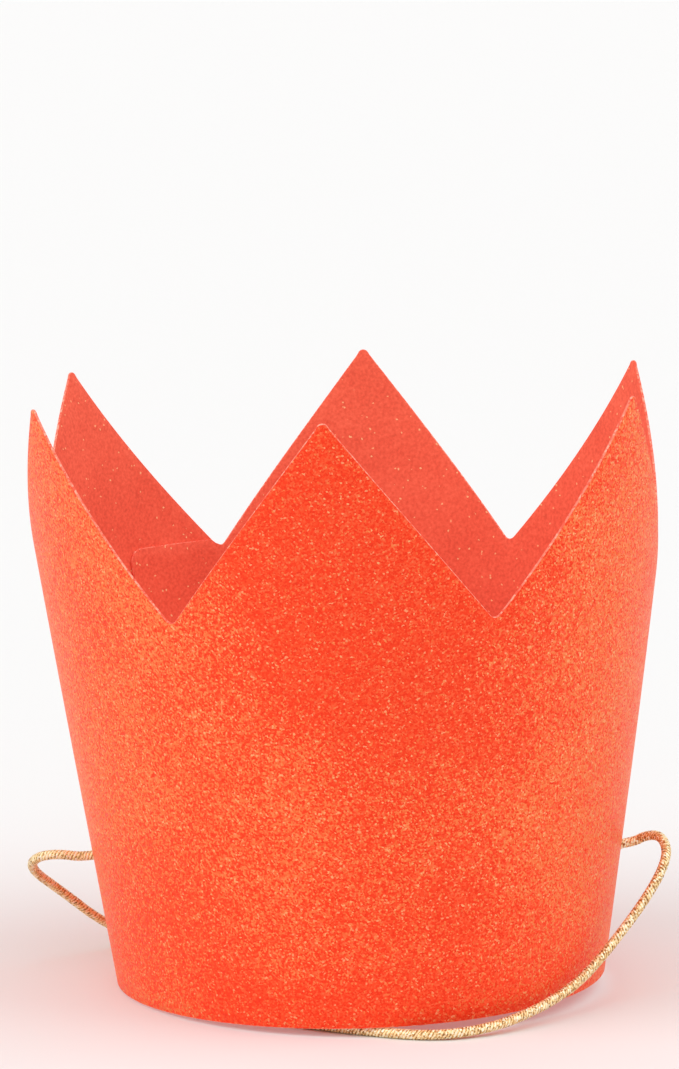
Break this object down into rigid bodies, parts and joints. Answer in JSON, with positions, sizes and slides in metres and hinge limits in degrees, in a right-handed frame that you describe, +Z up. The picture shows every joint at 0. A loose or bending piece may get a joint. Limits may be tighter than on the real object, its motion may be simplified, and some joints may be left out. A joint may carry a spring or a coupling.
{
  "type": "paper crown",
  "caption": "Pointed party crown of rolled glitter card with a glued back seam and a thin elastic cord knotted through a hole on each side, standing on its rim and cord",
  "frame": {"origin": "on the surface that the crown stands on, straight below the middle of its lower rim, which is the middle of the head opening", "axes": "+Z up, -Y the front that the picture shows, +X to the picture's right. The crown's own axis leans 1.72 degrees from +Z, towards -X, because its rim rests on the cord at the front and at the back."},
  "size_m": [0.104, 0.1079, 0.0985],
  "materials": {
    "glitter_card": "satin",
    "gold_elastic": "satin"
  },
  "bodies": {
    "root": {"crown_wall": "glitter_card", "elastic_cord": "gold_elastic", "knot_left": "gold_elastic", "knot_right": "gold_elastic"}
  },
  "joints": []
}
